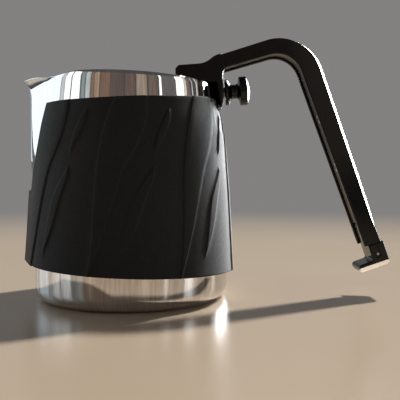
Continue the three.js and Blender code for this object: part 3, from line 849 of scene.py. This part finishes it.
def make_arm():
    shell = swept("grip_shell_fine", shell_section, -top_length + 0.04, LEG_END, 0.12)
    finished(soften(shell), "handle", "grip_shell", "gloss_black")
    core = swept("arm_core_fine", bar_section, -top_length - CORE_ROOT, LEG_END + REST_SOCKET)
    filling = swept("filling", filling_section, -top_length + 0.6, LEG_END - TONGUE_LENGTH - 0.5)
    combine(core, "UNION", filling)
    holes = []
    for station in screw_places:
        face = tip_depth(station) - CORE_RECESS
        floor = face - SCREW_HEAD_T - 0.1
        start = CORE_DEPTH - 1
        wide = SCREW_HEAD_R + 0.2
        profile = [(start, 0), (start, 1.6), (floor, 1.6), (floor, wide), (face + 1, wide), (face + 1, 0)]
        holes.append(turned("hole", profile, arm_frame(station), 48))
    combine(core, "DIFFERENCE", *holes)
    finished(soften(core), "handle", "arm_core", "core_steel")
    for i, station in enumerate(screw_places):
        place = arm_frame(station)
        face = tip_depth(station) - CORE_RECESS
        under = face - SCREW_HEAD_T
        profile = [(0.9, 0), (0.9, 1.3, 0.2), (under, 1.3), (under, SCREW_HEAD_R, 0.1),
                   (face, SCREW_HEAD_R, 0.35), (face, 0)]
        socket = hex_socket("socket", 0.95, face - 0.7, face + 2, place)
        make_screw(f"shell_screw_{i + 1}_fine", f"shell_screw_{i + 1}", profile, place, socket)


# ---------------------------------------------------------------- finger rest
def sole_wedge(side):
    """Takes the long flat off the lower edge of the foot on one side."""
    corners = [(HALF_WIDTH + 1, REST_LENGTH - SOLE_BEVEL - 1), (HALF_WIDTH + 1, REST_LENGTH + 1),
               (HALF_WIDTH - SOLE_BEVEL - 1, REST_LENGTH + 1)]
    rings = []
    for depth in (-2, FOOT_REACH + 2):
        places = [(arm_point(LEG_END + along, depth), side * y) for y, along in corners]
        rings.append([(p.x, y, p.y) for p, y in places])
    return skin("wedge", rings, capped=True)


def make_rest():
    def at(corners):
        return [arm_point(LEG_END + p.x, p.y) for p in corners]

    tip = FOOT_T / 2 - 0.2
    hook = prism("finger_rest_fine", at(rounded([
        (0.1, 0), (REST_LENGTH, 0, 1.3), (REST_LENGTH, FOOT_REACH, tip),
        (REST_LENGTH - FOOT_T, FOOT_REACH, tip), (REST_LENGTH - FOOT_T, REST_DEPTH, 1.1),
        (0.1, REST_DEPTH)], 9)), HALF_WIDTH, 0.65, 5)
    over, face = CORE_DEPTH + CORE_T + 0.1, LEG_END_DEPTH - CORE_RECESS
    tongue = prism("tongue", at(rounded([
        (-TONGUE_LENGTH, over), (3, over), (3, REST_DEPTH - 0.7), (0.6, REST_DEPTH - 0.7), (-0.4, face, 0.8),
        (-TONGUE_LENGTH, face)])), HALF_WIDTH - SHELL_SIDE_T - 0.1, 0.25, 3)
    near, deep = CORE_DEPTH - 0.1, REST_SOCKET + 0.3
    bar_end = map(Vector, [(-1, near), (deep, near), (deep, over), (-1, over)])
    socket = block("socket", at(bar_end), CORE_HALF_WIDTH + 0.1)
    window = rounded([(1, 2.9, 0.7), (6.6, 2.9, 0.7), (6.6, 5.9, 0.7), (1, 5.9, 0.7)], 4)
    windows = []
    for side in (-1, 1):
        opening = block("window", at(window), 1)
        opening.data.transform(Matrix.Translation((0, side * HALF_WIDTH * MM, 0)))
        windows.append(opening)
    combine(hook, "DIFFERENCE", sole_wedge(-1), sole_wedge(1))
    combine(hook, "UNION", tongue)
    combine(hook, "DIFFERENCE", socket, *windows)
    finished(soften(hook), "handle", "finger_rest", "gloss_black")
    # The slanted sole bevel faces take the pale metal, which is a painted highlight along the foot's sole.
    hook.data.materials.append(FINISHES["sole_painted_highlight"])
    sole = Vector((fall.x, 0, fall.y))
    for face in hook.data.polygons:
        slanted = abs(abs(face.normal.y) - math.sqrt(0.5)) < 0.05 and face.normal.dot(sole) > 0.6
        face.material_index = 1 if slanted else 0
    place = arm_point(LEG_END + PIN_ALONG, CORE_DEPTH + CORE_T / 2)
    frame_of_pin = Matrix.Translation((place.x, 0, place.y)) @ Matrix.Rotation(math.pi / 2, 4, "Z")
    half = HALF_WIDTH - 0.9
    profile = [(-half, 0), (-half, PIN_R, 0.5), (half, PIN_R, 0.5), (half, 0)]
    pin = turned("rest_pin_fine", profile, frame_of_pin, 40)
    finished(soften(pin), "handle", "rest_pin", "fastener_steel")


# ---------------------------------------------------------------- clamp
wall_frame = Matrix.Translation((SCREW_X, 0, SCREW_Z)) @ Matrix.Rotation(-CLAMP_LEAN, 4, "Y")


def on_wall(out, up):
    at = wall_frame @ Vector((out, 0, up))
    return Vector((at.x, at.z))


def make_clamp():
    seam_inner = ARM_SEAM + inwards(rise) * SEAM_DEPTH
    outline = rounded([
        (31.2, 98.9, 0.4), (31.2, 100.4, 0.3), (20.4, 102.9, 0.9), (20.4, 105.6, 0.9), (21.9, 107.2, 1.2),
        (31.4, 107.9), *bowed((31.4, 107.9), (34.6, 108.2), (37, 110.4)),
        *bowed((37, 110.4), (38.9, 112), ARM_SEAM), seam_inner,
        *bowed(seam_inner, (42.1, 104.6), (42.2, 102)),
        (42.6, 96, 2), (42.4, 89.4), (41.8, 87.8, 0.25), (41, 87.8, 0.25), (40.4, 90.6), (39.8, 94, 2),
        (39.4, 98.9, 0.3)], 4)
    body = prism("clamp_body_fine", outline, HALF_WIDTH, 0.5, 5)
    cutters = [
        block("pocket", [(24.8, 95), (33.2, 95), (33.2, 103), (24.8, 103)], 5.3),
        block("slot", [on_wall(-4.4, 2), on_wall(-1.6, 2), on_wall(-1.6, 9), on_wall(-4.4, 9)], 5.3),
        block("roof", [(33, 100), (35.6, 100), (35.6, 103), (33, 103)], 5.3),
        block("seat", [(36.9, 98), (38.4, 98), (38.4, 99.2), (36.9, 99.2)], 6.9),
        turned("pad_bore", [(-1, 0), (-1, 3.35), (2.55, 3.35), (2.55, 0)], wall_frame, 48),
        turned("bush_bore", [(2, 0), (2, 3.4), (8, 3.4), (8, 0)], wall_frame, 48),
    ]
    combine(body, "DIFFERENCE", *cutters)
    finished(soften(body), "handle", "clamp_body", "black_cast")


def make_clamp_insides():
    jaw = prism("inner_jaw_fine", rounded([
        (25, JAW_PLATE_Z, 0.4), (33.7, JAW_PLATE_Z, 0.8), (*on_wall(-4, -7.6), 0.5),
        (*on_wall(-2.35, -7.6), 0.5), on_wall(-2.35, 7.2), (34.6, JAW_PLATE_Z + JAW_PLATE_T),
        (25, JAW_PLATE_Z + JAW_PLATE_T, 0.3)], 4), 5, 0.25, 3)
    finished(soften(jaw), "handle", "inner_jaw", "fastener_steel")
    grooves = []
    for up in (-6, -3.5, -1, 1.5):
        grooves += [on_wall(JAW_FACE, up - 0.3), on_wall(JAW_FACE - 0.2, up - 0.25),
                    on_wall(JAW_FACE - 0.2, up + 0.25), on_wall(JAW_FACE, up + 0.3)]
    pad = prism("jaw_pad_fine", [on_wall(JAW_FACE, -7.4), *grooves, on_wall(JAW_FACE, 2.6),
                                 on_wall(JAW_FACE - 0.8, 2.6), on_wall(JAW_FACE - 0.8, -7.4)], 5, 0.08, 2)
    finished(soften(pad), "handle", "jaw_pad", "pad_rubber")
    seat = prism("rim_seat_fine", rounded([(37, 98.15, 0.2), (38.3, 98.15, 0.2), (38.3, 99.1, 0.2),
                                           (37, 99.1, 0.2)], 3), 6.8, 0.15, 3)
    finished(soften(seat), "handle", "rim_seat", "pad_rubber")
    bush = turned("threaded_bush_fine", [(2.6, 2.6), (2.6, 3.35, 0.1), (4.1, 3.35, 0.25), (4.1, 2.6, 0.15),
                                         (2.6, 2.6)], wall_frame)
    finished(soften(bush), "handle", "threaded_bush", "bush_brass")
    for i, y in enumerate((-2.9, 2.9)):
        place = Matrix.Translation((JAW_SCREW_X, y, JAW_PLATE_Z)) @ Matrix.Rotation(-math.pi / 2, 4, "Y")
        profile = [(-0.9, 0), (-0.9, 2, 0.5), (-0.1, 2, 0.1), (-0.1, 1.1), (5, 1.1, 0.3), (5, 0)]
        left, right, top = JAW_SCREW_X - 3, JAW_SCREW_X + 3, JAW_PLATE_Z - 0.5
        slot = block("slot", [(left, 99), (right, 99), (right, top), (left, top)], 0.3)
        slot.data.transform(Matrix.Translation((0, y * MM, 0)))
        make_screw(f"jaw_screw_{i + 1}_fine", f"jaw_screw_{i + 1}", profile, place, slot)
    end = CORE_DEPTH + CORE_T + 1.6
    for i, y in enumerate((-2.3, 2.3)):
        place = Matrix.Translation((0, y, 0)) @ arm_frame(-top_length - 2)
        profile = [(-0.4, 0), (-0.4, 2, 0.3), (1.1, 2), (1.1, 1.25), (end, 1.25, 0.2), (end, 0)]
        socket = hex_socket("socket", 0.85, -2, 0.5, place)
        make_screw(f"core_screw_{i + 1}_fine", f"core_screw_{i + 1}", profile, place, socket)


# ---------------------------------------------------------------- thumbscrew
def threaded_rod(name, tip, start, end, radius, pitch, place, segments=56):
    """A turned tip, then a real helical thread of rounded V grooves, then a chamfered end."""
    depth = 0.55 * pitch
    turns = np.linspace(0, 2 * math.pi, segments, endpoint=False)
    rings = [[(u, r * math.cos(t), r * math.sin(t)) for t in turns] for u, r in tip]
    for u in np.arange(start, end, pitch / 8):
        wave = np.abs(((u / pitch - turns / (2 * math.pi)) % 1) - 0.5) * 2
        edge = min(1, (u - start) / 0.6, (end - u) / 0.6)
        radii = radius - depth * (1 - edge + edge * step(0.06, 0.94, wave))
        rings.append([(u, r * math.cos(t), r * math.sin(t)) for r, t in zip(radii, turns)])
    return skin(name, rings, ends=[(tip[0][0], 0, 0), (rings[-1][0][0], 0, 0)], place=place)


def make_thumbscrew():
    face = turned("pad_face_fine", [(0.35, 0), (0.35, 3, 0.18), (0.75, 3, 0.05), (0.75, 0)], wall_frame)
    finished(soften(face), "pad", "pad_face", "pad_rubber")
    disc = turned("pressure_pad_fine", [(0.85, 0), (0.85, 3, 0.1), (1.55, 3, 0.2), (1.55, 1.3, 0.05),
                                        (1.05, 1.3), (1.05, 0)], wall_frame)
    finished(soften(disc), "pad", "pressure_pad", "fastener_steel")
    tip = [(1.15, 1.1), (1.25, 1.2), (1.7, 1.2), (1.72, 2.0)]
    stud = threaded_rod("screw_stud_fine", tip, 1.8, 13.3, STUD_R, THREAD_PITCH, wall_frame)
    finished(soften(stud, 50, weighted=False), "thumbscrew", "screw_stud", "fastener_steel")
    k = KNOB_START
    waist = KNOB_WAIST_R
    knob = turned("thumb_knob_fine", [
        (k, 2.6), (k, KNOB_FLANGE_R, 0.35), (k + 1.25, KNOB_FLANGE_R, 0.3), (k + 2.95, waist, 1.6),
        (k + 6.3, waist, 1.5), (k + 6.9, KNOB_HEAD_R, 0.4), (k + 10.3, KNOB_HEAD_R, 0.45),
        (k + 10.3, CAP_R + 0.05, 0.08), (k + 9.6, CAP_R + 0.05), (k + 9.6, 2.6),
        (k, 2.6)], wall_frame, 112, 8)
    finished(soften(knob), "thumbscrew", "thumb_knob", "black_cast")
    r = CAP_CROWN_R
    leans = np.linspace(math.asin(CAP_R / r), 0, 14)
    crown = [(k + 11.65 - r + r * math.cos(a), r * math.sin(a)) for a in leans]
    cap = turned("knob_cap_fine", [(k + 9.65, 0), (k + 9.65, CAP_R), *crown], wall_frame, 112)
    finished(soften(cap, 50), "thumbscrew", "knob_cap", "black_cast")


# ---------------------------------------------------------------- stage, light and camera
LIGHT_DISTANCE = 1.25
EYE_HEIGHT = 0.06
FADE_START = 0.2
FADE_END = 0.9
BACKDROP_TURN = (0.55, 0.9)
BACKDROP_FRONT = (0.09, 0.088, 0.086, 1)
BACKDROP_BEHIND = (0.225, 0.22, 0.218, 1)
ROOM_ELEVATIONS = (1, 30)
CAMERA_PLACE = (0.0318, -0.292, 0.0538)
CAMERA_LENS = 55.8
CAMERA_SHIFT = -0.0475


def backdrop_tone(tree, direction):
    """The plain backdrop: grey behind the jug and darker in front of it, by direction from the jug."""
    split = tree.nodes.new("ShaderNodeSeparateXYZ")
    tree.links.new(direction, split.inputs[0])
    behind = tree.nodes.new("ShaderNodeMapRange")
    behind.interpolation_type = "SMOOTHSTEP"
    for value, socket in zip((*BACKDROP_TURN, 0, 1), behind.inputs[1:5]):
        socket.default_value = value
    tree.links.new(split.outputs[1], behind.inputs[0])
    tone = tree.nodes.new("ShaderNodeMix")
    tone.data_type = "RGBA"
    tone.inputs[6].default_value = BACKDROP_FRONT
    tone.inputs[7].default_value = BACKDROP_BEHIND
    tree.links.new(behind.outputs[0], tone.inputs["Factor"])
    return tone.outputs[2]


def make_floor():
    """A plain pale floor that fades into the backdrop."""
    mesh = bpy.data.meshes.new("floor")
    mesh.from_pydata([(-4, -4, 0), (4, -4, 0), (4, 6, 0), (-4, 6, 0)], [], [(0, 1, 2, 3)])
    floor = bpy.data.objects.new("floor", mesh)
    bpy.context.scene.collection.objects.link(floor)
    f = Finish("floor", (0.42, 0.34, 0.26), 0, 0.26)
    mottle = f.noise(f.place, 9, 3)
    f.link(f.blend(mottle, (0.4, 0.32, 0.24), (0.45, 0.37, 0.285)), "Base Color")
    reach = f.node("ShaderNodeVectorMath", operation="LENGTH")
    f.feed(f.place, reach.inputs[0])
    away = f.node("ShaderNodeMapRange", interpolation_type="SMOOTHSTEP")
    for value, socket in zip((reach.outputs["Value"], FADE_START, FADE_END, 0, 1), away.inputs):
        f.feed(value, socket)
    outward = f.node("ShaderNodeVectorMath", operation="NORMALIZE")
    f.feed(f.place, outward.inputs[0])
    glow = f.node("ShaderNodeEmission")
    f.feed(backdrop_tone(f.tree, outward.outputs[0]), glow.inputs["Color"])
    fade = f.node("ShaderNodeMixShader")
    f.feed(away.outputs[0], fade.inputs[0])
    f.feed(f.shader.outputs[0], fade.inputs[1])
    f.feed(glow.outputs[0], fade.inputs[2])
    f.feed(fade.outputs[0], f.tree.nodes["Material Output"].inputs["Surface"])
    floor.data.materials.append(f.material)
    return floor


def panel(name, bearings, heights, color, radiance):
    """An upright light over a range of bearings and elevations in degrees, as the jug sees it.

    Bearings run round the jug: 0 behind it, 90 on its left, 180 in front and 270 on its right.
    """
    turn = math.radians(sum(bearings) / 2)
    width = 2 * LIGHT_DISTANCE * math.tan(math.radians(bearings[1] - bearings[0]) / 2)
    low, high = (LIGHT_DISTANCE * math.tan(math.radians(e)) + EYE_HEIGHT for e in heights)
    lamp = bpy.data.lights.new(name, "AREA")
    lamp.shape = "RECTANGLE"
    lamp.size, lamp.size_y = width, high - low
    lamp.color = color
    lamp.energy = radiance * math.pi * width * (high - low)
    light = bpy.data.objects.new(name, lamp)
    light.location = (-LIGHT_DISTANCE * math.sin(turn), LIGHT_DISTANCE * math.cos(turn), (low + high) / 2)
    light.rotation_euler = (math.pi / 2, 0, turn + math.pi)
    light.visible_camera = False
    bpy.context.scene.collection.objects.link(light)
    return light


# The room round the jug as upright panels: (name, bearings, colour, radiance).
ROOM = [
    ("window_left_a", (38, 46), (0.7, 0.86, 1), 0.9),
    ("window_left_b", (50, 74), (0.72, 0.87, 1), 1.7),
    ("window_left_c", (75, 83), (0.85, 0.95, 1), 0.7),
    ("window_left_d", (84, 96), (0.92, 0.97, 1), 1.5),
    ("window_left_e", (98, 113), (0.92, 0.97, 1), 1.5),
    ("sky_blue_a", (115, 121), (0.75, 0.95, 1), 0.27),
    ("sky_blue_b", (122, 129), (0.88, 1, 1), 0.55),
    ("brown_a", (130, 134), (1, 0.5, 0.36), 0.2),
    ("brown_b", (135, 142), (1, 0.66, 0.4), 0.34),
    ("brown_c", (143, 157), (1, 0.4, 0.2), 0.15),
    ("brown_d", (158, 175), (1, 0.34, 0.17), 0.05),
    ("brown_e", (177, 190), (1, 0.44, 0.3), 0.08),
    ("tan", (192, 206), (1, 0.77, 0.56), 0.3),
    ("brown_f", (208, 221), (1, 0.62, 0.4), 0.1),
    ("strip_front_right_a", (223, 226), (1, 1, 1), 2),
    ("purple", (227, 246), (1, 0.86, 0.95), 0.075),
    ("strip_front_right_b", (248, 260), (1, 1, 1), 2.4),
    ("cream", (260.5, 265), (1, 0.92, 0.84), 0.75),
    ("brown_g", (266, 271), (1, 0.6, 0.45), 0.14),
    ("strip_right_a", (275, 276.5), (1, 0.96, 0.9), 0.8),
    ("strip_right_b", (284, 286), (1, 0.96, 0.9), 0.8),
    ("strip_right_c", (293, 299), (1, 0.98, 0.95), 1.2),
]


def make_light(floor):
    """The room's panels, a sun, and a bright window that leaves the floor out."""
    for name, bearings, color, radiance in ROOM:
        panel(name, bearings, ROOM_ELEVATIONS, color, radiance)
    panel("sun_back_right", (309, 315), (49, 53), (1, 0.96, 0.9), 1100)
    window = panel("window_back_right", (303, 341), (2, 24), (0.94, 0.97, 1), 34)
    not_on_floor = bpy.data.collections.new("not_on_floor")
    not_on_floor.objects.link(floor)
    not_on_floor.collection_objects[0].light_linking.link_state = "EXCLUDE"
    window.light_linking.receiver_collection = not_on_floor
    world = bpy.data.worlds.new("studio")
    world.use_nodes = True
    tree = world.node_tree
    direction = tree.nodes.new("ShaderNodeTexCoord").outputs["Generated"]
    tree.links.new(backdrop_tone(tree, direction), tree.nodes["Background"].inputs["Color"])
    bpy.context.scene.world = world
    bpy.context.scene.view_settings.view_transform = "Standard"


def make_camera():
    camera = bpy.data.cameras.new("camera")
    camera.sensor_width = 36
    camera.lens = CAMERA_LENS
    camera.shift_y = CAMERA_SHIFT
    camera.clip_start = 0.01
    viewer = bpy.data.objects.new("camera", camera)
    viewer.location = CAMERA_PLACE
    viewer.rotation_euler = (math.pi / 2, 0, 0)
    bpy.context.scene.collection.objects.link(viewer)
    bpy.context.scene.camera = viewer


make_vessel()
make_sleeve()
make_arm()
make_rest()
make_clamp()
make_clamp_insides()
make_thumbscrew()
make_light(make_floor())
make_camera()
